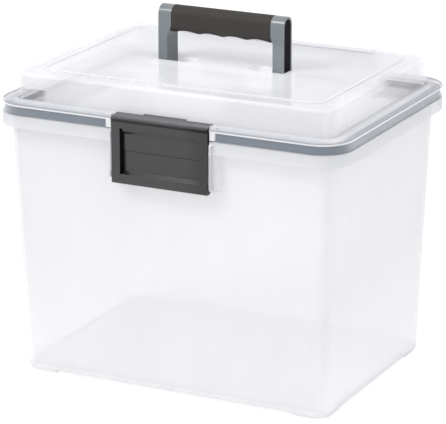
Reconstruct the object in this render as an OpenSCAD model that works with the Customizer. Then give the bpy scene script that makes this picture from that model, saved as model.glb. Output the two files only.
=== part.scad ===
// Portable file box: a clear tapered bin with a gasketed lift-off lid, two swinging
// latches and a rigid carry handle. The front is -Y, +Z is up, and z = 0 is the floor
// under the feet. All sizes are millimetres.

/* [Bin] */
// Outer width across the rim
rim_w = 355; // [340:1:375]
// Outer depth across the rim
rim_d = 263; // [250:1:285]
// Height of the rim above the floor
rim_z = 256; // [246:1:275]
// Corner radius of the rim, seen from above
rim_r = 30; // [26:1:34]
// How far the rim stands out from the wall under it
overhang = 10.5; // [9.5:0.5:12]
// How far each wall leans in between the rim and the floor
draft = 8.5; // [5:0.5:11]
// Corner radius of the walls, seen from above
wall_r = 15; // [12:1:20]
// Thickness of the walls
wall_t = 2.4; // [1.8:0.2:3]
// Thickness of the floor
floor_t = 3; // [2:0.5:5]
// Height of the corner feet under the floor
foot_h = 3; // [2:0.5:6]
// Length of each foot along the box's sides
foot_len = 34; // [20:1:50]
// Radius that rounds the bottom edge
bottom_r = 4; // [2:0.5:6]
// Thickness of the flat rim
rim_t = 2; // [1.6:0.2:3]
// Height of the skirt that hangs from the rim
skirt_h = 12; // [9:0.5:16]
// Thickness of the skirt
skirt_t = 2; // [1.6:0.2:2.6]

/* [Folder rails] */
// Distance from the short wall's inside to the rail's centre line
rail_in = 10; // [8:0.5:14]
// Thickness of the upright rail that a hanging folder hooks on
rail_t = 2.5; // [2:0.5:4]
// Height of the upright rail above its ledge
rail_h = 7; // [5:0.5:10]
// Depth of the rail's top below the rim
rail_drop = 8; // [6:0.5:14]
// Length of each rail from front to back
rail_len = 196; // [160:1:200]

/* [Seal] */
// Width of the gasket's cross-section
gasket_w = 6.4; // [5.4:0.2:7]
// Height of the gasket's cross-section
gasket_h = 8.6; // [7:0.2:11]
// Width of the bead on the rim that bites into the gasket
seal_bead_w = 1.2; // [1:0.1:1.8]
// Height of that bead
seal_bead_h = 2.2; // [1.4:0.2:3]
// Gap between the bead and its groove in the gasket
bead_gap = 0.4; // [0.3:0.05:0.6]
// Gap between the gasket and the lid's channel
gasket_gap = 0.3; // [0.2:0.05:0.5]

/* [Lid] */
// Thickness of the lid's flange and walls
lid_t = 2.4; // [2:0.2:3]
// Thickness of the lip outside the gasket
lip_t = 2; // [1.6:0.2:2.4]
// Gap between the lip and the bin's rim
lip_gap = 1; // [0.6:0.1:2]
// Height of the bead along the flange's edge
edge_bead_h = 0.8; // [0.4:0.1:1.2]
// Distance from the lid's edge to that bead
bead_in = 0.4; // [0.2:0.1:0.8]
// How far the dome stands in from the lid's edge
dome_inset = 14.5; // [13:0.5:17]
// Height of the dome above the flange
dome_h = 26.5; // [20:0.5:32]
// Corner radius of the dome, seen from above
dome_r = 15; // [12:1:20]
// Lean of the dome's walls over their height
dome_draft = 1; // [0.5:0.5:3]
// Radius that rounds the dome's top edge
dome_edge_r = 4; // [2:0.5:6]
// Width of the flat border round the sunken top panel
border_w = 21; // [16:1:28]
// Depth of the sunken top panel
panel_drop = 0.5; // [0.5:0.25:3]
// Width of the ridge round the panel
ridge_w = 3.5; // [2:0.5:5]
// Height of the ridge above the border
ridge_h = 1; // [0.4:0.1:1.5]

/* [Handle] */
// Width across the outside of the handle's legs
handle_w = 130.6; // [122:1:150]
// Height of the handle above the dome
handle_h = 51.2; // [46:0.1:65]
// Thickness of each leg below the grip
leg_t = 11.2; // [9:0.2:13]
// Thickness of the frame's head at each end of the grip
head_t = 13.5; // [12:0.5:17]
// Depth of each leg from front to back
leg_d = 18.8; // [16:0.2:20]
// Width of the flat strip along the handle's round top
crown_flat = 1; // [0.5:0.5:4]
// Height of the grip
grip_h = 25.2; // [22:0.2:28]
// Width of the flat strip along the grip's underside
grip_flat = 8; // [5:0.5:12]
// Height over which the grip's lower edges round off
grip_round = 5; // [3:0.5:6]
// Height over which the grip's ends spread to the legs
seam_rise = 6.5; // [4:0.5:9]
// Length of the plain collar at each end of the grip
collar_w = 3.4; // [2:0.2:6]
// Depth of each finger hollow
finger_depth = 2.5; // [1.5:0.25:4]
// Width of the ridges between the finger hollows
finger_ridge = 3; // [1:0.5:5]
// Height of the bar inside the grip
bar_h = 10; // [8:0.5:12]
// Depth of that bar from front to back
bar_d = 9; // [7:0.5:11]
// Depth of the wells that the legs stand in
well_depth = 14; // [11:0.5:17]
// Gap between a leg and the front and back of its well
well_gap = 1.2; // [0.8:0.1:3]
// Gap between a leg and the outer end of its well
well_end_gap = 1; // [0.5:0.1:2]
// How far each well runs inwards past its leg
well_run = 27; // [20:1:30]
// Corner radius at the outer end of each well
well_corner_r = 3; // [1:0.5:5]
// Length of the toe that locks each leg under its catches
toe_len = 13; // [9:0.5:16]
// Thickness of the toe
toe_t = 4; // [3:0.5:5]
// Gap between the toe and the catches above it
toe_gap = 0.3; // [0.2:0.05:0.5]
// How far each catch reaches over the toe
catch_reach = 1; // [0.6:0.1:1.5]
// Length of each catch along its well
catch_len = 5; // [3:0.5:8]
// Thickness of each catch
catch_t = 3; // [2:0.5:4]
// Depth of the inlay's recess in a leg's outer face
inlay_deep = 1.5; // [1:0.1:2.5]
// How far the inlay's face lies below the leg's face
inlay_sink = 0.4; // [0.1:0.1:0.6]
// Width of the leg's border round the inlay
inlay_rim = 2.2; // [1.5:0.1:3]
// How far the inlay runs down into the well
inlay_low = 1; // [0:0.5:4]
// Gap between an inlay and the edge of its recess
inlay_gap = 0.1; // [0.05:0.05:0.2]

/* [Latches] */
// Width of each latch
latch_w = 98; // [90:1:110]
// Height of the latch's lower edge above the floor
latch_z = 205.7; // [198:0.1:208]
// How far the latch's face stands out from the rim
latch_proud = 1.7; // [1.5:0.1:3]
// Thickness of the latch's face behind the hollow
latch_skin = 1.3; // [1.2:0.1:1.6]
// Gap between the latch's back and the rim and gasket behind it
latch_gap = 0.6; // [0.4:0.1:1]
// Width of the border beside the hollow
latch_border = 8.5; // [6:0.5:12]
// Width of the border under the hollow
latch_foot = 8.8; // [8:0.2:12]
// Height of the hollow's top above the bin's rim
hollow_over = 1.8; // [1:0.1:2]
// Depth of the hollow's pan behind the latch's face
pan_deep = 5.9; // [5.5:0.1:6.2]
// Lean of the pan's sides
pan_lean = 2.2; // [1:0.2:3]
// Height of the slope between the pan's floor and the shallow strip above it
pan_slope = 3.8; // [3.6:0.1:4.4]
// Depth of the slope's top below the bin's rim
slope_drop = 1; // [0.8:0.1:1.4]
// How far the hollow's upper field stands out from its lower field
field_step = 0.8; // [0.4:0.1:1.2]
// Width and depth of the groove under the upper field
field_groove = 0.6; // [0.4:0.1:0.8]
// Thickness of the latch's side walls
latch_side_t = 2.4; // [2:0.2:3]
// Depth of the side walls behind the pivot
latch_side_d = 5.8; // [5:0.2:6]
// How far the finger lip stands out from the face
lip_reach = 1.2; // [0.8:0.2:3]
// Thickness of the finger lip's front edge
lip_edge = 1.4; // [1:0.2:2]
// Thickness of the hook over the lid
hook_t = 2; // [1.8:0.1:3]
// Drop of the hook's top from its back to the latch's front
hook_fall = 0.6; // [0.2:0.1:0.8]
// How far the hook reaches past the catch ridge
hook_past = 2; // [1:0.5:3]
// Gap between the hook and the catch ridge on the lid
hook_gap = 0.2; // [0.1:0.05:0.4]
// Height of the catch ridge above the lid's flange
catch_h = 0.6; // [0.5:0.1:1]
// Width of the catch ridge from front to back
catch_w = 3; // [2:0.5:4]
// Distance from the lid's edge to the catch ridge's centre line
catch_in = 6.5; // [6:0.5:8]
// Width of the hook's tongue at the middle of the latch
tongue_w = 43; // [30:1:60]
// How far the tongue reaches past the rest of the hook
tongue_reach = 1.6; // [1:0.2:2.4]
// Height of the tongue above the hook's back edge
tongue_rise = 0.8; // [0.4:0.1:1.2]
// Length of the ramp that leads up to the tongue
tongue_ramp = 3; // [2:0.5:4]
// Radius of the latch's pivot pins
pin_r = 2.5; // [2:0.1:2.8]
// Length of each pin beyond the latch's side
pin_len = 3.4; // [2.8:0.2:3.4]
// Gap between a pin's end and the end of its bore
pin_end_gap = 0.2; // [0.1:0.05:0.3]
// Radial gap between a pin and its bore
pin_gap = 0.06; // [0.03:0.01:0.1]
// Thickness of the barrel round the pins
barrel_t = 0.8; // [0.6:0.1:1.2]
// Distance from the latch's face back to the pivot
pivot_in = 4.4; // [4.2:0.1:5]
// Height of the pivot above the latch's lower edge
pivot_up = 7.2; // [6.6:0.1:7.4]
// Width of a cheek's front edge
cheek_front = 2.7; // [2:0.1:4]
// Width of a cheek where it meets the wall
cheek_w = 7.2; // [5:0.2:10]
// Gap between the latch and its cheeks
cheek_gap = 1.2; // [0.6:0.1:2]
// Width of the posts on the lid beside the latch
post_w = 6.5; // [5:0.5:8]
// Height of those posts above the flange
post_h = 3.3; // [2:0.1:4]

/* [Hidden] */
$fn = 48;

// Colours as the photograph shows them
CLEAR = [0.93, 0.94, 0.96, 0.45];
GASKET_GREY = [0.52, 0.55, 0.59];
HANDLE_GREY = [0.48, 0.51, 0.53];
GRIP_BROWN = [0.29, 0.28, 0.28];
INLAY_DARK = [0.17, 0.17, 0.18];
LATCH_DARK = [0.30, 0.30, 0.31];

eps = 0.01;             // thinnest plate in a hull, and overlap of joined bodies
buried = 0.2;           // how far a hidden plate stops below the top it joins
cut = 5;                // how far a cutting shape runs past what it cuts
facets = 32;            // facets of a full circle inside a hull

// Bin
wall_w = rim_w - 2 * overhang;
wall_d = rim_d - 2 * overhang;
floor_w = wall_w - 2 * draft;
floor_d = wall_d - 2 * draft;
floor_z = foot_h + floor_t;

// Lid, from the gasket up
gasket_in = lip_t + gasket_gap;
gasket_mid = gasket_in + gasket_w / 2;
channel_in = gasket_in + gasket_w + gasket_gap;
flange_under = rim_z + gasket_h;
flange_z = flange_under + lid_t;
dome_z = flange_z + dome_h;
dome_w = rim_w - 2 * dome_inset;
dome_d = rim_d - 2 * dome_inset;
panel_w = dome_w - 2 * border_w;
panel_d = dome_d - 2 * border_w;
panel_z = dome_z - panel_drop;
panel_r = dome_r - lid_t;
edge_mid = dome_edge_r * (1 - cos(45));

// Handle
well_floor = panel_z - well_depth;
leg_out = handle_w / 2;
leg_in = leg_out - leg_t;
head_in = leg_out - head_t;
toe_in = leg_in - toe_len;
well_out = leg_out + well_end_gap;
well_in = leg_in - well_run;
well_half = leg_d / 2 + well_gap;
handle_z = dome_z + handle_h;
grip_z = handle_z - grip_h;
crown_r = (leg_d - crown_flat) / 2;
bar_z = handle_z - (grip_h + bar_h) / 2;

// Latch, at the front
face_y = rim_d / 2 + latch_proud;
gasket_y = rim_d / 2 - gasket_in;
rim_notch_y = rim_d / 2 - gasket_mid + seal_bead_w;
skin_y = gasket_y + latch_gap;
back_y = rim_notch_y + latch_gap;
pan_y = face_y - pan_deep;
strip_y = skin_y + latch_skin;
hollow_half = latch_w / 2 - latch_border;
hollow_z = latch_z + latch_foot;
hollow_top = rim_z + hollow_over;
field_z = (hollow_z + hollow_top) / 2;
slope_top = rim_z - slope_drop;
pan_top = rim_z - rim_t - latch_gap;
notch_half = latch_w / 2 + cheek_gap;
pivot_y = face_y - pivot_in;
pivot_z = latch_z + pivot_up;
barrel_r = pin_r + barrel_t;
catch_y = rim_d / 2 - catch_in;
hook_z = flange_z + catch_h + hook_gap;
hook_top = hook_z + hook_t;
hook_back = catch_y - catch_w / 2 - hook_past;
side_back = pivot_y - latch_side_d;
side_top = rim_z - rim_t - latch_side_t;

// A rounded rectangle of true arcs
module rounded(w, d, r) {
    square([w - 2 * r, d], center = true);
    square([w, d - 2 * r], center = true);
    for (x = [-1, 1], y = [-1, 1])
        translate([x * (w / 2 - r), y * (d / 2 - r)])
            circle(r);
}

// An upright ring that follows the rim, between two distances in from the rim's edge
module rim_ring(outer_in, inner_in, z0, z1) {
    translate([0, 0, z0])
        linear_extrude(z1 - z0)
            difference() {
                rounded(rim_w - 2 * outer_in, rim_d - 2 * outer_in, rim_r - outer_in);
                rounded(rim_w - 2 * inner_in, rim_d - 2 * inner_in, rim_r - inner_in);
            }
}

// The thin rounded plates at each [z, width, depth, radius], joined into one tapered body
module tapered(levels) {
    hull()
        for (level = levels)
            translate([0, 0, level[0]])
                for (x = [-1, 1], y = [-1, 1])
                    translate([x * (level[1] / 2 - level[3]), y * (level[2] / 2 - level[3]), 0])
                        cylinder(r = level[3], h = eps, $fn = facets);
}

// A block between two x, two y and two z values
module block(x0, x1, y0, y1, z0, z1) {
    translate([x0, y0, z0])
        cube([x1 - x0, y1 - y0, z1 - z0]);
}

// Draws its children as they are and turned half round, for what front and rear share
module front_and_rear() {
    children();
    rotate(180)
        children();
}

// Draws its children on the right and mirrored on the left
module both_sides() {
    children();
    mirror([1, 0, 0])
        children();
}

// A profile drawn in (outwards, up), stretched along X at the front of the box
module front_profile(x0, x1, points) {
    translate([x0, 0, 0])
        rotate([90, 0, 90])
            linear_extrude(x1 - x0)
                polygon([for (p = points) [-p[0], p[1]]]);
}

// Width or depth of the tapered wall at a height, from its sizes at the rim and the floor
function at_height(top, bottom, z) = bottom + (top - bottom) * z / rim_z;

module bin() {
    color(CLEAR)
        difference() {
            union() {
                difference() {
                    bin_outside();
                    bin_inside();
                    foot_channels();
                }
                bin_rim();
                both_sides()
                    folder_rail();
                front_and_rear()
                    both_sides()
                        cheek();
            }
            front_and_rear()
                pivot_bores();
        }
}

module bin_outside() {
    tapered([
        [0, floor_w - bottom_r, floor_d - bottom_r, wall_r - bottom_r / 2],
        [bottom_r, floor_w, floor_d, wall_r],
        [rim_z - eps, wall_w, wall_d, wall_r]
    ]);
}

module bin_inside() {
    inner_r = wall_r - wall_t;
    tapered([
        [floor_z, floor_w - 2 * wall_t - bottom_r, floor_d - 2 * wall_t - bottom_r, inner_r - bottom_r / 2],
        [floor_z + bottom_r, floor_w - 2 * wall_t, floor_d - 2 * wall_t, inner_r],
        [rim_z + cut, wall_w - 2 * wall_t, wall_d - 2 * wall_t, inner_r]
    ]);
}

// Two crossing channels under the floor leave a foot at each corner
module foot_channels() {
    block(-floor_w / 2 + foot_len, floor_w / 2 - foot_len, -rim_d, rim_d, -cut, foot_h);
    block(-rim_w, rim_w, -floor_d / 2 + foot_len, floor_d / 2 - foot_len, -cut, foot_h);
}

module bin_rim() {
    difference() {
        union() {
            translate([0, 0, rim_z - rim_t])
                linear_extrude(rim_t)
                    difference() {
                        rounded(rim_w, rim_d, rim_r);
                        rounded(wall_w - 2 * wall_t, wall_d - 2 * wall_t, wall_r - wall_t);
                    }
            rim_ring(0, skirt_t, rim_z - skirt_h, rim_z - eps);
            seal_in = gasket_mid - seal_bead_w / 2;
            rim_ring(seal_in, seal_in + seal_bead_w, rim_z - eps, rim_z + seal_bead_h);
        }
        front_and_rear()
            block(-notch_half, notch_half, -rim_d, -rim_notch_y, rim_z - skirt_h - cut, rim_z + cut);
    }
}

// A ledge on the short wall, with the upright rail that folders hook on
module folder_rail() {
    ledge_z = rim_z - rail_drop - rail_h;
    wall_x = at_height(wall_w, floor_w, ledge_z) / 2 - wall_t / 2;
    rail_x = wall_x - wall_t / 2 - rail_in - rail_t / 2;
    block(rail_x, wall_x, -rail_len / 2, rail_len / 2, ledge_z - rail_t, ledge_z);
    block(rail_x, rail_x + rail_t, -rail_len / 2, rail_len / 2, ledge_z - eps, ledge_z + rail_h);
}

// A clear cheek beside the latch, from the rim down to the pivot, wider towards the wall
module cheek() {
    lug_r = face_y - pivot_y;
    wall_y = at_height(wall_d, floor_d, latch_z) / 2 - wall_t / 2;
    top_z = rim_z - rim_t + eps;
    intersection() {
        union() {
            front_profile(notch_half, notch_half + cheek_w, [
                [wall_y, top_z],
                [rim_d / 2, top_z],
                [face_y, top_z - rim_t],
                [face_y, pivot_z],
                [pivot_y, pivot_z - lug_r],
                [wall_y, pivot_z - lug_r]
            ]);
            translate([notch_half, -pivot_y, pivot_z])
                rotate([0, 90, 0])
                    cylinder(r = lug_r, h = cheek_w);
        }
        linear_extrude(rim_z)
            polygon([
                [notch_half, -face_y],
                [notch_half + cheek_front, -face_y],
                [notch_half + cheek_w, -wall_y],
                [notch_half, -wall_y]
            ]);
    }
}

// Blind bores for the latch's pins, bored from between the cheeks
module pivot_bores() {
    bore_half = latch_w / 2 + pin_len + pin_end_gap;
    translate([-bore_half, -pivot_y, pivot_z])
        rotate([0, 90, 0])
            cylinder(r = pin_r + pin_gap, h = 2 * bore_half);
}

module lid() {
    color(CLEAR)
        difference() {
            union() {
                difference() {
                    lid_shell();
                    dome_inside();
                }
                panel_plate();
                lid_channel();
                edge_bead();
                front_and_rear()
                    lid_catch();
                both_sides()
                    well_body(lid_t);
            }
            translate([0, 0, panel_z])
                linear_extrude(panel_drop + ridge_h + cut)
                    rounded(panel_w, panel_d, panel_r);
            both_sides()
                well_space();
            front_and_rear()
                latch_notch();
        }
    color(CLEAR)
        both_sides()
            toe_catches();
}

module lid_shell() {
    translate([0, 0, flange_under])
        linear_extrude(lid_t)
            rounded(rim_w, rim_d, rim_r);
    tapered([
        [flange_z - eps, dome_w, dome_d, dome_r],
        [dome_z - dome_edge_r, dome_w - 2 * dome_draft, dome_d - 2 * dome_draft, dome_r - dome_draft],
        [dome_z - edge_mid, dome_w - 2 * dome_draft - 2 * edge_mid,
         dome_d - 2 * dome_draft - 2 * edge_mid, dome_r - dome_draft - edge_mid],
        [dome_z - eps, dome_w - 2 * dome_draft - 2 * dome_edge_r,
         dome_d - 2 * dome_draft - 2 * dome_edge_r, dome_r - dome_draft - dome_edge_r]
    ]);
    ridge_out_w = panel_w + 2 * ridge_w;
    ridge_out_d = panel_d + 2 * ridge_w;
    translate([0, 0, dome_z - 2 * eps])
        linear_extrude(ridge_h)
            rounded(ridge_out_w, ridge_out_d, panel_r + ridge_w);
}

module dome_inside() {
    in_w = dome_w - 2 * lid_t;
    in_d = dome_d - 2 * lid_t;
    in_r = dome_r - lid_t;
    tapered([
        [flange_under - cut, in_w, in_d, in_r],
        [dome_z - dome_edge_r, in_w - 2 * dome_draft, in_d - 2 * dome_draft, in_r - dome_draft],
        [dome_z - lid_t, in_w - 2 * dome_draft - dome_edge_r, in_d - 2 * dome_draft - dome_edge_r,
         in_r - dome_draft - dome_edge_r / 2]
    ]);
}

// The sunken panel's plate, with the step that joins it to the border
module panel_plate() {
    translate([0, 0, panel_z - lid_t])
        linear_extrude(dome_z - panel_z + lid_t - buried)
            rounded(panel_w + 2 * lid_t, panel_d + 2 * lid_t, panel_r + lid_t);
}

// The lip outside the gasket and the wall inside it
module lid_channel() {
    rim_ring(0, lip_t, rim_z + lip_gap, flange_under + eps);
    rim_ring(channel_in, channel_in + lip_t, rim_z + lip_gap, flange_under + eps);
}

module edge_bead() {
    rim_ring(bead_in, lip_t, flange_z - eps, flange_z + edge_bead_h);
}

// Room for the latch in the lid's edge
module latch_notch() {
    block(-notch_half, notch_half, -rim_d, -gasket_y, rim_z, flange_z + cut);
}

// The ridge that the hook bears on, and the posts beside the latch
module lid_catch() {
    ridge_half = latch_w / 2 - latch_side_t;
    block(-ridge_half, ridge_half, -catch_y - catch_w / 2, -catch_y + catch_w / 2,
          flange_z - eps, flange_z + catch_h);
    both_sides()
        block(notch_half, notch_half + post_w, -rim_d / 2 + bead_in, -gasket_y + lip_t,
              flange_z - eps, flange_z + post_h);
}

// The outline of a well, grown outwards by a margin
module well_outline(margin) {
    end_r = well_half + margin;
    corner_r = well_corner_r + margin;
    translate([well_in + well_half, 0])
        circle(end_r);
    translate([well_in + well_half, -end_r])
        square([well_out + margin - corner_r - well_in - well_half, 2 * end_r]);
    translate([well_in + well_half, -end_r + corner_r])
        square([well_out + margin - well_in - well_half, 2 * (end_r - corner_r)]);
    for (y = [-1, 1])
        translate([well_out + margin - corner_r, y * (end_r - corner_r)])
            circle(corner_r);
}

module well_body(thickness) {
    translate([0, 0, well_floor - thickness])
        linear_extrude(well_depth + thickness - buried)
            well_outline(thickness);
}

module well_space() {
    translate([0, 0, well_floor])
        linear_extrude(well_depth + cut)
            well_outline(0);
}

// Two ribs in the well that hold the leg's toe down
module toe_catches() {
    rib_z = well_floor + toe_t + toe_gap;
    rib_in = well_half - well_gap - catch_reach;
    rib_x = toe_in + toe_gap + catch_reach;
    for (y = [-well_half - eps, rib_in])
        block(rib_x, rib_x + catch_len, y, y + well_half + eps - rib_in, rib_z, rib_z + catch_t);
}

module gasket() {
    color(GASKET_GREY)
        difference() {
            rim_ring(gasket_in, gasket_in + gasket_w, rim_z, flange_under);
            groove_in = gasket_mid - seal_bead_w / 2 - bead_gap;
            rim_ring(groove_in, groove_in + seal_bead_w + 2 * bead_gap, rim_z - cut,
                     rim_z + seal_bead_h + bead_gap);
        }
}

// One half of the handle's outline from the front: leg and head
module handle_outline() {
    polygon([
        [leg_in, well_floor],
        [leg_out, well_floor],
        [leg_out, handle_z],
        [head_in, handle_z],
        [head_in, grip_z + seam_rise],
        [leg_in, grip_z]
    ]);
}

// The outline of the frame from the side: a leg with a round top
module side_outline() {
    translate([-leg_d / 2, 0])
        square([leg_d, handle_z - crown_r]);
    translate([-crown_flat / 2, 0])
        square([crown_flat, handle_z]);
    for (y = [-1, 1])
        translate([y * crown_flat / 2, handle_z - crown_r])
            circle(crown_r);
}

// The grip's outline from the side: the frame's outline with an arc across its lower edges
module grip_outline() {
    arc_up = (leg_d * leg_d / 4 + grip_round * grip_round - grip_flat * grip_flat / 4) / (2 * grip_round);
    arc_r = sqrt(grip_flat * grip_flat / 4 + arc_up * arc_up);
    intersection() {
        side_outline();
        union() {
            translate([0, grip_z + arc_up])
                circle(arc_r);
            translate([-leg_d / 2, grip_z + arc_up])
                square([leg_d, grip_h]);
        }
    }
}

// A side outline drawn in (y, z), stretched along X
module along_x(length) {
    translate([-length / 2, 0, 0])
        rotate([90, 0, 90])
            linear_extrude(length)
                children();
}

// A front outline drawn in (x, z), stretched along Y over a leg's depth
module along_y() {
    translate([0, leg_d / 2, 0])
        rotate([90, 0, 0])
            linear_extrude(leg_d)
                children();
}

// The arched area of a leg's outer face that the inlay fills
module inlay_outline(gap) {
    half = leg_d / 2 - inlay_rim - gap;
    arch_z = handle_z - leg_d / 2;
    base = panel_z - inlay_low + gap;
    translate([-half, base])
        square([2 * half, arch_z - base]);
    translate([0, arch_z])
        circle(half);
}

module inlay_recess() {
    translate([leg_out - inlay_deep, 0, 0])
        rotate([90, 0, 90])
            linear_extrude(inlay_deep + cut)
                inlay_outline(0);
}

// The frame: two legs with locking toes, and the bar that runs inside the grip
module handle_frame() {
    color(HANDLE_GREY)
        difference() {
            union() {
                intersection() {
                    both_sides()
                        along_y()
                            handle_outline();
                    along_x(handle_w + cut)
                        side_outline();
                }
                block(-head_in - eps, head_in + eps, -bar_d / 2, bar_d / 2, bar_z, bar_z + bar_h);
                both_sides()
                    block(toe_in, leg_in + eps, -leg_d / 2, leg_d / 2,
                          well_floor, well_floor + toe_t);
            }
            both_sides()
                inlay_recess();
        }
}

// The grip's outline from the front: four finger hollows between narrow ridges
module finger_outline() {
    pitch = (head_in - collar_w + finger_ridge / 2) / 2;
    half_chord = (pitch - finger_ridge) / 2;
    hollow_r = (half_chord * half_chord + finger_depth * finger_depth) / (2 * finger_depth);
    difference() {
        polygon([
            [-head_in, handle_z],
            [head_in, handle_z],
            [head_in, grip_z + seam_rise],
            [leg_in, grip_z],
            [-leg_in, grip_z],
            [-head_in, grip_z + seam_rise]
        ]);
        for (i = [-1.5 : 1 : 1.5])
            translate([i * pitch, grip_z + finger_depth - hollow_r])
                circle(hollow_r, $fn = 96);
    }
}

// The dark sleeve on the bar, with four finger hollows underneath
module handle_grip() {
    color(GRIP_BROWN)
        difference() {
            intersection() {
                along_x(handle_w)
                    grip_outline();
                along_y()
                    finger_outline();
            }
            block(-handle_w, handle_w, -bar_d / 2, bar_d / 2, bar_z, bar_z + bar_h);
        }
}

module leg_inlay() {
    color(INLAY_DARK)
        translate([leg_out - inlay_deep, 0, 0])
            rotate([90, 0, 90])
                linear_extrude(inlay_deep - inlay_sink)
                    inlay_outline(inlay_gap);
}

module leg_inlay_right() {
    leg_inlay();
}

module leg_inlay_left() {
    mirror([1, 0, 0])
        leg_inlay();
}

// The hollow in the latch's face: a pan with leaning sides and a shallow strip above it
module latch_hollow_space() {
    slope_out = (face_y - strip_y) * pan_slope / (strip_y - pan_y);
    hull() {
        block(-hollow_half, hollow_half, -face_y - eps, -face_y, hollow_z, slope_top + slope_out);
        block(-hollow_half + pan_lean, hollow_half - pan_lean, -pan_y - eps, -pan_y,
              hollow_z + pan_lean, slope_top - pan_slope);
    }
    block(-hollow_half, hollow_half, -face_y - eps, -strip_y, slope_top, hollow_top);
}

// The back of the pan, behind the latch's plate
module pan_back() {
    half = hollow_half - pan_lean + latch_skin;
    block(-half, half, -back_y - eps, -pan_y + latch_skin,
          hollow_z + pan_lean - latch_skin, pan_top);
}

// The upper field of the pan's floor, which stands out a little
module upper_field() {
    half = hollow_half - pan_lean + latch_skin / 2;
    block(-half, half, -pan_y - field_step, -pan_y + eps, field_z, pan_top);
}

module field_groove_space() {
    half = hollow_half - pan_lean;
    block(-half, half, -pan_y - eps, -pan_y + field_groove, field_z - field_groove, field_z);
}

// A latch's plate seen from the side, with the finger lip and the hook
module latch_plate() {
    lip_y = face_y + lip_reach;
    lip_z = flange_under + lip_reach;
    step_z = rim_z - latch_gap / 2;
    front_profile(-latch_w / 2, latch_w / 2, [
        [back_y, latch_z],
        [face_y, latch_z],
        [face_y, flange_under],
        [lip_y, lip_z],
        [lip_y, lip_z + lip_edge],
        [skin_y, hook_top - hook_fall],
        [hook_back, hook_top],
        [hook_back, hook_z],
        [skin_y, hook_z],
        [skin_y, step_z],
        [back_y, step_z]
    ]);
    front_profile(-tongue_w / 2, tongue_w / 2, [
        [hook_back + tongue_ramp, hook_z + hook_t / 2],
        [hook_back, hook_top + tongue_rise],
        [hook_back - tongue_reach, hook_top + tongue_rise],
        [hook_back - tongue_reach, hook_z],
        [hook_back + eps, hook_z]
    ]);
}

// A latch's side wall, from the pivot up to the rim
module latch_side() {
    front_profile(latch_w / 2 - latch_side_t, latch_w / 2, [
        [back_y + eps, latch_z + barrel_t],
        [pivot_y - barrel_r, latch_z + latch_side_t],
        [side_back, pivot_z - barrel_r],
        [side_back, side_top - latch_side_d],
        [back_y - barrel_t, side_top],
        [back_y + eps, side_top]
    ]);
}

// The latch: a hollow-faced plate with side walls, a finger lip, a hook and pivot pins
module latch() {
    pins_half = latch_w / 2 + pin_len;
    color(LATCH_DARK) {
        difference() {
            union() {
                latch_plate();
                pan_back();
                both_sides()
                    latch_side();
                translate([-latch_w / 2, -pivot_y, pivot_z])
                    rotate([0, 90, 0])
                        cylinder(r = barrel_r, h = latch_w);
                translate([-pins_half, -pivot_y, pivot_z])
                    rotate([0, 90, 0])
                        cylinder(r = pin_r, h = 2 * pins_half);
            }
            latch_hollow_space();
            field_groove_space();
        }
        upper_field();
    }
}

module front_latch() {
    latch();
}

module rear_latch() {
    rotate(180)
        latch();
}

bin();
lid();
gasket();
handle_frame();
handle_grip();
leg_inlay_left();
leg_inlay_right();
front_latch();
rear_latch();
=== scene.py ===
"""Looks for a clear plastic file box with a gasketed lid, charcoal latches and a grey carry handle."""

import math

import bpy
from mathutils import Matrix, Vector


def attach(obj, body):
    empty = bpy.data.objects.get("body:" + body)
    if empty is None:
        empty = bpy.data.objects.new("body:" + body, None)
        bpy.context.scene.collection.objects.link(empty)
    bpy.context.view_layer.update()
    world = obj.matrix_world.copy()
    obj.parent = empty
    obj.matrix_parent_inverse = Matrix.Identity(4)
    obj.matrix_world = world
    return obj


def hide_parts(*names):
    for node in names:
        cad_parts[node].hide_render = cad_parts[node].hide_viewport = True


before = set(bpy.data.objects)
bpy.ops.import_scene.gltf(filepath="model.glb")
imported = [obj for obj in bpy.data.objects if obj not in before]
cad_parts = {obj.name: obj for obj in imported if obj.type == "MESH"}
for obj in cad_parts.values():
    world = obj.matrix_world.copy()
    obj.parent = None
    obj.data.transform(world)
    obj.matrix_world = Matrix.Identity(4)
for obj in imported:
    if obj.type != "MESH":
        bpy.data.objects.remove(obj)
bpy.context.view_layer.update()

MM = 0.001


# ---------------------------------------------------------------- Shader maths


class Wire:
    """The output socket of a node. Arithmetic on it adds Math nodes."""

    def __init__(self, nodes, socket):
        self.nodes = nodes
        self.socket = socket

    def _math(self, operation, *values):
        return self.nodes.add("ShaderNodeMath", {"operation": operation}, dict(enumerate(values)))

    def __add__(self, other):
        return self._math("ADD", self, other)

    def __sub__(self, other):
        return self._math("SUBTRACT", self, other)

    def __mul__(self, other):
        return self._math("MULTIPLY", self, other)

    def __truediv__(self, other):
        return self._math("DIVIDE", self, other)

    def __rsub__(self, other):
        return self._math("SUBTRACT", other, self)

    __radd__ = __add__
    __rmul__ = __mul__

    def __abs__(self):
        return self._math("ABSOLUTE", self)

    def clipped(self, low=0, high=1):
        """Held between two limits."""
        return self._math("MINIMUM", self._math("MAXIMUM", self, low), high)

    def past(self, edge, softness):
        """0 below the edge, 1 past it, over a soft border."""
        return ((self - edge) / softness + 0.5).clipped()

    def before(self, edge, softness):
        """1 below the edge, 0 past it, over a soft border."""
        return 1 - self.past(edge, softness)


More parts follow.
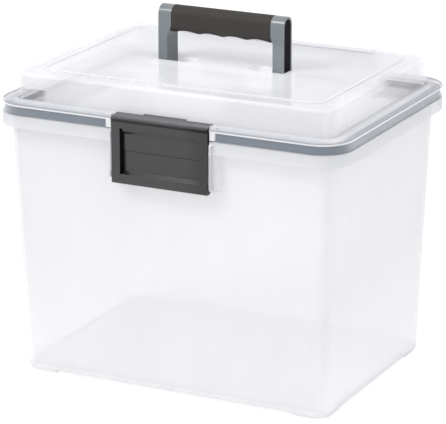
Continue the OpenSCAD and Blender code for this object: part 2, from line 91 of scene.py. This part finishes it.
class Nodes:
    """The nodes of a material or of the world."""

    def __init__(self, owner):
        owner.use_nodes = True
        self.tree = owner.node_tree
        self.tree.nodes.clear()

    def feed(self, node, socket, value):
        """Links a wire to a node's socket, or sets the socket to a number, a vector or a colour."""
        if isinstance(value, Wire):
            self.tree.links.new(value.socket, node.inputs[socket])
        elif isinstance(value, tuple) and len(value) == 3 and node.inputs[socket].type == "RGBA":
            node.inputs[socket].default_value = (*value, 1)
        else:
            node.inputs[socket].default_value = value

    def add(self, kind, settings=None, sockets=None, out=0):
        """A new node with its settings and sockets, as the wire of one of its outputs."""
        node = self.tree.nodes.new(kind)
        for name, value in (settings or {}).items():
            setattr(node, name, value)
        for socket, value in (sockets or {}).items():
            self.feed(node, socket, value)
        return Wire(self, node.outputs[out])

    def show(self, output, surface):
        """Sends a shader's wire to an output node."""
        self.feed(self.tree.nodes.new(output), "Surface", surface)


class Finish(Nodes):
    """A procedural material around one Principled shader."""

    def __init__(self, name, **constants):
        self.material = bpy.data.materials.new(name)
        super().__init__(self.material)
        self.shader = self.tree.nodes.new("ShaderNodeBsdfPrincipled")
        self.show("ShaderNodeOutputMaterial", Wire(self, self.shader.outputs[0]))
        self.use(**constants)

    def use(self, **sockets):
        """Feeds the shader's sockets, named with underscores for spaces."""
        for socket, value in sockets.items():
            self.feed(self.shader, socket.replace("_", " "), value)

    def place(self):
        """Where a point lies, in metres from the middle of the feet."""
        return self.add("ShaderNodeTexCoord", out="Object")

    def axes(self):
        """The place's x, y and z."""
        place = self.place()
        return [self.add("ShaderNodeSeparateXYZ", sockets={"Vector": place}, out=axis) for axis in "XYZ"]

    def noise(self, size, detail, roughness=0.5, stretch=(1, 1, 1)):
        """Noise from 0 to 1 whose features are about size metres wide."""
        place = self.add("ShaderNodeMapping", sockets={"Vector": self.place(), "Scale": stretch})
        return self.add("ShaderNodeTexNoise", sockets={
            "Vector": place, "Scale": 1 / size, "Detail": detail, "Roughness": roughness}, out="Fac")

    def blend(self, factor, first, second):
        """A colour between two colours."""
        return self.add("ShaderNodeMix", {"data_type": "RGBA"}, {0: factor, 6: first, 7: second}, out=2)

    def relief(self, height, depth, distance):
        """A normal raised by a height from 0 to 1."""
        return self.add("ShaderNodeBump", sockets={
            "Strength": depth, "Distance": distance, "Height": height}, out="Normal")


# ---------------------------------------------------------------- Clear plastic

# Heights above the feet at which the clear plastic's milkiness, painted shade and painted glow change.
FOOT_EDGE = 7 * MM
SKIRT_FOOT = 244 * MM
FLANGE_FOOT = 264.5 * MM
FLANGE_EDGE = 265.9 * MM
FLANGE_TOP = 268.2 * MM
UNDER_WELLS = 276 * MM
UNDER_TOP = 291 * MM
TOP_FACE = 292.4 * MM
RIDGE_FOOT = 293.6 * MM

# How far back from the middle the rear of the box starts.
REAR = 100 * MM

# How milky one surface is, from 0 for clear to 1 for solid. Each wall has two surfaces.
BIN_VEIL = 0.38
LIP_VEIL = 0.03
LATCH_END_VEIL = 0.63
FLANGE_VEIL = 0.60
DOME_VEIL = 0.42
WINDOW_VEIL = 0.12
DENSE_VEIL = 0.80

# The grey of the painted shade, and what a grazing view, flow marks, mottle and a dull surface add; what
# a grazing view adds to the colour is painted shade.
PAINTED_SHADE_GREY = (0.520, 0.530, 0.570)
GRAZING_SHADE = 0.8
GRAZING_VEIL = 0.45
FLOW_VEIL = 0.05
MOTTLE_ROUGHNESS = 0.06
DULL_ROUGHNESS = 0.4
FULL_COAT = 0.9


def clear_plastic(name, dim, pale, roughness, veil_and_painted_light_at):
    """Polypropylene under a milky veil, denser where it is seen at a grazing angle, with painted shade
    greying it there and in given zones, and a painted glow in given zones.
    """
    finish = Finish(name, IOR=1.49, Specular_IOR_Level=0.2, Coat_Roughness=0.08, Emission_Strength=0.5)
    flow = finish.noise(60 * MM, detail=3, stretch=(1, 1, 0.35))
    mottle = finish.noise(7 * MM, detail=2)
    grazing = finish.add("ShaderNodeLayerWeight", sockets={"Blend": 0.5}, out="Facing")
    edge = grazing * grazing
    veil, shade, glow, shine = veil_and_painted_light_at(*finish.axes())
    clouded = finish.blend(flow, dim, pale)
    finish.use(
        # Painted shade: greyer at a grazing view and where the zones give shade.
        Base_Color=finish.blend((edge * edge * GRAZING_SHADE + shade).clipped(), clouded, PAINTED_SHADE_GREY),
        Roughness=roughness + (mottle - 0.5) * MOTTLE_ROUGHNESS + (1 - shine) * DULL_ROUGHNESS,
        Coat_Weight=((FULL_COAT - edge) * shine).clipped(),
        Alpha=(veil + edge * (1 - veil) * GRAZING_VEIL + (flow - 0.5) * FLOW_VEIL).clipped(),
        # Painted glow: the emission where the zones glow, though no lamp is there.
        Emission_Color=finish.blend(glow, (0, 0, 0), pale),
    )
    return finish.material


def bin_veil_and_painted_light(x, y, z):
    """Denser on the skirt, the bottom edge and behind the rear latch, with painted shade greying the
    skirt, the bottom edge and the corners, and a painted glow low on the walls, more at the ends.
    """
    across = abs(x)
    deep = abs(y)
    rear = y.past(REAR, 10 * MM)
    skirt = z.past(SKIRT_FOOT, 1 * MM)
    behind_latch = across.before(62 * MM, 12 * MM) * rear * z.past(196 * MM, 12 * MM)
    near_walls = (across.past(152 * MM, 4 * MM) + deep.past(107 * MM, 4 * MM)).clipped()
    bottom_edge = near_walls * z.before(FOOT_EDGE, 3 * MM)
    corners = across.past(154 * MM, 6 * MM) * deep.past(109 * MM, 6 * MM)
    low = z.before(70 * MM, 110 * MM) * (1 - (bottom_edge + corners).clipped())
    end_walls = across.past(150 * MM, 10 * MM)

    veil = BIN_VEIL + skirt * 0.2 + behind_latch * 0.4 + bottom_edge * 0.2 + corners * 0.06
    # Painted shade on the skirt, the bottom edge and the corners.
    shade = (skirt * 0.38 + bottom_edge * 0.22 + corners * 0.16).clipped(high=0.45)
    # Painted glow low on the walls, stronger at the ends.
    glow = low * (0.1 + end_walls * 0.22)
    return veil, shade, glow, 1.0


def lid_veil_and_painted_light(x, y, z):
    """Polished round the gasket, thin at the dome's ends, dense round the latches and the wells, with
    painted shade on the flange, the dome's walls, the latch ends and the rear of the top, a painted
    highlight along the lower edge and a painted glow in the wells and at the rear ends.
    """
    across = abs(x)
    deep = abs(y)
    rear = y.past(REAR, 10 * MM)

    # The levels, from the clear lip over the gasket to the ridge round the top panel.
    above_lip = z.past(FLANGE_FOOT, 0.4 * MM)
    above_flange = z.past(FLANGE_TOP, 1 * MM)
    on_top = z.past(TOP_FACE, 0.4 * MM)
    on_ridge = z.past(RIDGE_FOOT, 0.1 * MM)
    flange = above_lip * (1 - above_flange)
    # The lid's lower edge over the seal, which gets a painted highlight.
    painted_highlight_edge = above_lip * z.before(FLANGE_EDGE, 0.4 * MM)
    flange_rim = (deep.past(121.5 * MM, 4 * MM) + across.past(170 * MM, 3 * MM)).clipped()
    flange_ends = across.past(165 * MM, 8 * MM)

    # Where the plastic is dense, so that little shows through.
    latch_ends = across.before(55.5 * MM, 1 * MM) * deep.past(126 * MM, 1 * MM)
    back_wall = across.before(104 * MM, 4 * MM) * rear * y.before(124 * MM, 1 * MM)
    well_tops = across.before(84 * MM, 24 * MM) * deep.before(72 * MM, 24 * MM) * on_top
    in_wells = across.before(72 * MM, 2 * MM) * deep.before(20 * MM, 2 * MM) * z.past(UNDER_WELLS, 1 * MM)
    well_walls = in_wells * (1 - on_top)
    dense = (back_wall + well_tops * 0.5 + well_walls).clipped()

    # Where the dome's walls are clearer, so that the seal shows through.
    side_window = across.past(153 * MM, 4 * MM) * y.past(-86 * MM, 32 * MM)
    side_window = side_window * (1 - z.past(286 * MM, 3 * MM) * y.before(10 * MM, 20 * MM))
    corner_window = x.before(-128 * MM, 6 * MM) * y.before(-100 * MM, 6 * MM) * z.before(279 * MM, 1 * MM)
    windows = (side_window + corner_window).clipped()

    # Where the dome gets painted shade, and where it glows with painted light.
    end_walls = across.past(154 * MM, 4 * MM)
    dome_wall = above_flange * z.before(UNDER_TOP, 1 * MM) * (1 - well_walls) * (1 - end_walls * 0.8)
    rear_ends = across.past(112 * MM, 10 * MM) * rear * above_flange * (1 - on_top)
    rear_top = on_top * y.past(30 * MM, 60 * MM)

    lip = LIP_VEIL + latch_ends * (LATCH_END_VEIL - LIP_VEIL)
    thinner = (FLANGE_VEIL - DOME_VEIL) + windows * (DOME_VEIL - WINDOW_VEIL)
    veil = lip + above_lip * (FLANGE_VEIL - lip) - above_flange * thinner
    veil = veil + dense * (DENSE_VEIL - veil)
    # Painted shade on the flange, heavier at its outer rim except at the ends, and none along the painted
    # highlight.
    flange_shade = flange * (1 - painted_highlight_edge) * (0.25 + flange_rim * (0.75 - flange_ends * 0.25))
    # Painted shade on the dome's walls, beside the latches and on the rear of the top.
    shade = flange_shade + dome_wall * 0.24 + latch_ends * 0.1 + rear_top * 0.2
    # Painted glow in the wells and at the rear ends, and a painted highlight along the lid's lower edge.
    glow = well_walls * 0.5 + painted_highlight_edge * 0.3 + rear_ends * 0.3
    shine = (1 - on_ridge) * (1 - flange * flange_rim * 0.7)
    return veil, shade, glow, shine


BIN_FINISH = clear_plastic(
    "bin_clear", dim=(0.800, 0.798, 0.815), pale=(0.840, 0.838, 0.848), roughness=0.30, veil_and_painted_light_at=bin_veil_and_painted_light)
LID_FINISH = clear_plastic(
    "lid_clear", dim=(0.890, 0.888, 0.915), pale=(0.930, 0.928, 0.942), roughness=0.14, veil_and_painted_light_at=lid_veil_and_painted_light)


# ---------------------------------------------------------------- Seal and opaque plastics

# Heights above the feet at which the painted shade and light on the latch and the handle change.
HOLLOW_TOP = 259 * MM
FOLD_FOOT = 263.6 * MM
FOLD_TOP = 266.6 * MM
HOOK_FOOT = 268 * MM
LEG_TOP = 318 * MM

# The colour of the painted shade, where no light reaches, and how much lighter a face with painted light
# gets.
UNLIT = (0.001, 0.001, 0.001)
LIT_GAIN = 2.4


def soft_seal():
    """Grey foam with a fine open grain."""
    finish = Finish("seal_foam", Specular_IOR_Level=0.3)
    grain = finish.noise(0.8 * MM, detail=3)
    finish.use(
        Base_Color=finish.blend(grain, (0.135, 0.160, 0.195), (0.170, 0.198, 0.235)),
        Roughness=0.62 + grain * 0.2,
        Normal=finish.relief(grain, depth=0.25, distance=0.2 * MM),
    )
    return finish.material


def latch_painted_light(x, y, z):
    """Painted shade on the hollow's left wall, under the hook and dimmer to the right, and painted light
    on the hook's top.
    """
    deep = abs(y)
    in_hollow = deep.before(132.8 * MM, 0.3 * MM) * z.before(HOLLOW_TOP, 1 * MM)
    left_wall = x.past(-41.2 * MM, 0.3 * MM) * x.before(-38.4 * MM, 0.4 * MM) * in_hollow
    fold = z.past(FOLD_FOOT, 0.8 * MM) * z.before(FOLD_TOP, 1.2 * MM) * deep.past(131.8 * MM, 0.6 * MM)
    on_hook = z.past(HOOK_FOOT, 1 * MM)
    right_end = x.past(34 * MM, 20 * MM) * (1 - on_hook)
    # Painted shade on the hollow's left wall, under the hook and towards the right end; painted light on
    # the hook's top.
    return (left_wall + fold * 0.6 + right_end * 0.25).clipped(), on_hook * 0.9


def frame_painted_light(x, y, z):
    """Painted shade dims the left leg's inner face, and painted light lightens the right leg."""
    legs = z.before(LEG_TOP, 6 * MM)
    left_inner_face = x.past(-56 * MM, 0.6 * MM) * x.before(0, 1 * MM) * legs
    right_leg = x.past(0, 1 * MM) * legs
    # Painted shade on the left leg's inner face, painted light on the right leg.
    return left_inner_face * 0.35, right_leg * 0.15


def moulded(name, dark, light, roughness, mirror, sheen, grain_size, grain_depth, painted_light_and_shade=None):
    """Opaque moulded plastic with a fine spark-eroded grain, a slight random cloud in its colour, and
    painted light and painted shade where given.
    """
    finish = Finish(name, Specular_IOR_Level=mirror, Coat_Weight=sheen, Coat_Roughness=0.15)
    grain = finish.noise(grain_size, detail=3, roughness=0.6)
    cloud = finish.noise(18 * MM, detail=2)
    colour = finish.blend(cloud, dark, light)
    if painted_light_and_shade:
        # Painted light and painted shade on the colour, with less coat where the shade is painted.
        painted_dark, painted_lit = painted_light_and_shade(*finish.axes())
        colour = finish.blend(painted_lit, colour, tuple(LIT_GAIN * part for part in light))
        colour = finish.blend(painted_dark, colour, UNLIT)
        finish.use(Coat_Weight=sheen * (1 - painted_dark))
    finish.use(
        Base_Color=colour,
        Roughness=roughness + (grain - 0.5) * 0.12,
        Normal=finish.relief(grain, grain_depth, distance=0.1 * MM),
    )
    return finish.material


SEAL_FINISH = soft_seal()
LATCH_FINISH = moulded(
    "latch_charcoal", dark=(0.016, 0.016, 0.018), light=(0.022, 0.022, 0.025), roughness=0.35,
    mirror=0.1, sheen=1.0, grain_size=0.5 * MM, grain_depth=0.1, painted_light_and_shade=latch_painted_light)
FRAME_FINISH = moulded(
    "handle_grey", dark=(0.150, 0.168, 0.178), light=(0.185, 0.203, 0.213), roughness=0.30,
    mirror=0.3, sheen=0.4, grain_size=0.6 * MM, grain_depth=0.15, painted_light_and_shade=frame_painted_light)
GRIP_FINISH = moulded(
    "grip_brown", dark=(0.036, 0.033, 0.030), light=(0.045, 0.041, 0.038), roughness=0.65,
    mirror=0.2, sheen=0.0, grain_size=0.35 * MM, grain_depth=0.4)
INLAY_FINISH = moulded(
    "inlay_black", dark=(0.010, 0.010, 0.012), light=(0.015, 0.015, 0.017), roughness=0.80,
    mirror=0.05, sheen=0.0, grain_size=0.35 * MM, grain_depth=0.3)


# ---------------------------------------------------------------- Pieces

# How near two points are to be one, and the turns that are still flat and already sharp.
WELD = 0.01 * MM
FLAT_ANGLE = math.radians(0.5)
SHARP_ANGLE = math.radians(28)


def deselect_all():
    for obj in bpy.context.selected_objects:
        obj.select_set(False)


def soften_edges(node, piece_name, body, material, edge_radius):
    """The moulding of a CAD node, joined into whole faces, with its edges rounded."""
    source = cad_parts[node]
    piece = source.copy()
    piece.data = source.data.copy()
    piece.name = piece_name
    piece.parent = None
    piece.matrix_world = Matrix.Identity(4)
    for key in [key for key in piece.keys() if key.startswith("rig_")]:
        del piece[key]
    bpy.context.scene.collection.objects.link(piece)
    deselect_all()
    piece.select_set(True)
    bpy.context.view_layer.objects.active = piece
    bpy.ops.object.mode_set(mode="EDIT")
    bpy.ops.mesh.select_all(action="SELECT")
    bpy.ops.mesh.remove_doubles(threshold=WELD)
    bpy.ops.mesh.dissolve_limited(angle_limit=FLAT_ANGLE)
    bpy.ops.object.mode_set(mode="OBJECT")
    bevel = piece.modifiers.new("edge_radius", "BEVEL")
    bevel.width = edge_radius
    bevel.segments = 2
    bevel.limit_method = "ANGLE"
    bevel.angle_limit = SHARP_ANGLE
    bpy.ops.object.modifier_apply(modifier=bevel.name)
    bpy.ops.object.shade_smooth_by_angle(angle=SHARP_ANGLE)
    weighted = piece.modifiers.new("flat_faces", "WEIGHTED_NORMAL")
    weighted.keep_sharp = True
    bpy.ops.object.modifier_apply(modifier=weighted.name)
    piece.data.materials.clear()
    piece.data.materials.append(material)
    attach(piece, body)
    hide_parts(node)


soften_edges("bin", "bin_moulding", "box", BIN_FINISH, 0.35 * MM)
soften_edges("lid", "lid_moulding", "lid", LID_FINISH, 0.45 * MM)
soften_edges("handle_frame", "handle_frame_moulding", "lid", FRAME_FINISH, 0.8 * MM)
soften_edges("handle_grip", "grip_sleeve", "lid", GRIP_FINISH, 0.9 * MM)
soften_edges("front_latch", "front_latch_moulding", "front_latch", LATCH_FINISH, 0.4 * MM)
soften_edges("rear_latch", "rear_latch_moulding", "rear_latch", LATCH_FINISH, 0.4 * MM)
for side in ("left", "right"):
    soften_edges("leg_inlay_" + side, "inlay_" + side, "lid", INLAY_FINISH, 0.3 * MM)

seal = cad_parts["gasket"]
seal.data.materials.clear()
seal.data.materials.append(SEAL_FINISH)


# ---------------------------------------------------------------- Studio

# The camera's direction and distance from the point that it looks at. That point lies this far
# right and up in the picture from the middle of the feet.
AZIMUTH = math.radians(26.5)
ELEVATION = math.radians(17.1)
DISTANCE = 2.699
AIM_RIGHT = -1.5 * MM
AIM_UP = 140.7 * MM
FOCAL_PX = 2782
FRAME_PX = 446
SENSOR = 36

BOX_MIDDLE = (0, 0, 0.15)
DAYLIGHT = (0.98, 0.985, 1.0)
WHITE = (1, 1, 1)
FLOOR_GREY = (0.62, 0.62, 0.62)
FLOOR_DROP = 0.2 * MM


def place_camera():
    """The camera of the main picture, level from side to side."""
    back = Vector((math.sin(AZIMUTH) * math.cos(ELEVATION),
                   -math.cos(AZIMUTH) * math.cos(ELEVATION),
                   math.sin(ELEVATION)))
    right = Vector((math.cos(AZIMUTH), math.sin(AZIMUTH), 0))
    up = back.cross(right)
    data = bpy.data.cameras.new("camera")
    data.sensor_width = SENSOR
    data.lens = FOCAL_PX * SENSOR / FRAME_PX
    data.clip_end = 20
    camera = bpy.data.objects.new("camera", data)
    turn = Matrix((right, up, back)).transposed().to_4x4()
    place = back * DISTANCE + right * AIM_RIGHT + up * AIM_UP
    camera.matrix_world = Matrix.Translation(place) @ turn
    bpy.context.scene.collection.objects.link(camera)
    bpy.context.scene.camera = camera


def softbox(name, place, aim, size, power):
    """A rectangular lamp of some watts that faces its aim."""
    data = bpy.data.lights.new(name, "AREA")
    data.shape = "RECTANGLE"
    data.size, data.size_y = size
    data.energy = power
    lamp = bpy.data.objects.new(name, data)
    lamp.location = place
    lamp.rotation_euler = (Vector(aim) - Vector(place)).to_track_quat("-Z", "Y").to_euler()
    bpy.context.scene.collection.objects.link(lamp)


def white_room(light_strength):
    """The world lights the box softly, and is plain white where it is seen, mirrored or seen through."""
    world = bpy.data.worlds.new("white_room")
    bpy.context.scene.world = world
    room = Nodes(world)
    plain_white = room.add("ShaderNodeBackground", sockets={"Color": WHITE, "Strength": 1.0})
    lighting = room.add("ShaderNodeBackground", sockets={"Color": DAYLIGHT, "Strength": light_strength})
    seen = room.add("ShaderNodeLightPath", out="Is Camera Ray")
    mirrored = room.add("ShaderNodeLightPath", out="Is Glossy Ray")
    seen_through = room.add("ShaderNodeLightPath", out="Is Transmission Ray")
    white = (seen + mirrored + seen_through).clipped()
    mixed = room.add("ShaderNodeMixShader", sockets={0: white, 1: lighting, 2: plain_white})
    room.show("ShaderNodeOutputWorld", mixed)


def pale_floor():
    """A pale matt floor just under the feet, with a faint glow of its own."""
    deselect_all()
    bpy.ops.mesh.primitive_plane_add(size=12, location=(0, 0, -FLOOR_DROP))
    floor = bpy.context.active_object
    floor.name = "floor"
    finish = Finish(
        "floor_white", Base_Color=FLOOR_GREY, Roughness=0.9, Specular_IOR_Level=0.1,
        Emission_Color=WHITE, Emission_Strength=0.5)
    floor.data.materials.append(finish.material)


place_camera()
white_room(light_strength=0.87)
softbox("key_light", place=(-1.0, -1.6, 2.2), aim=BOX_MIDDLE, size=(0.6, 0.6), power=23)
softbox("top_light", place=(0.2, -0.5, 2.4), aim=BOX_MIDDLE, size=(2.2, 0.5), power=14)
softbox("right_fill", place=(2.0, -0.9, 0.5), aim=(0, 0, 0.12), size=(1.0, 1.0), power=4)
pale_floor()

bpy.context.scene.view_settings.view_transform = "Standard"
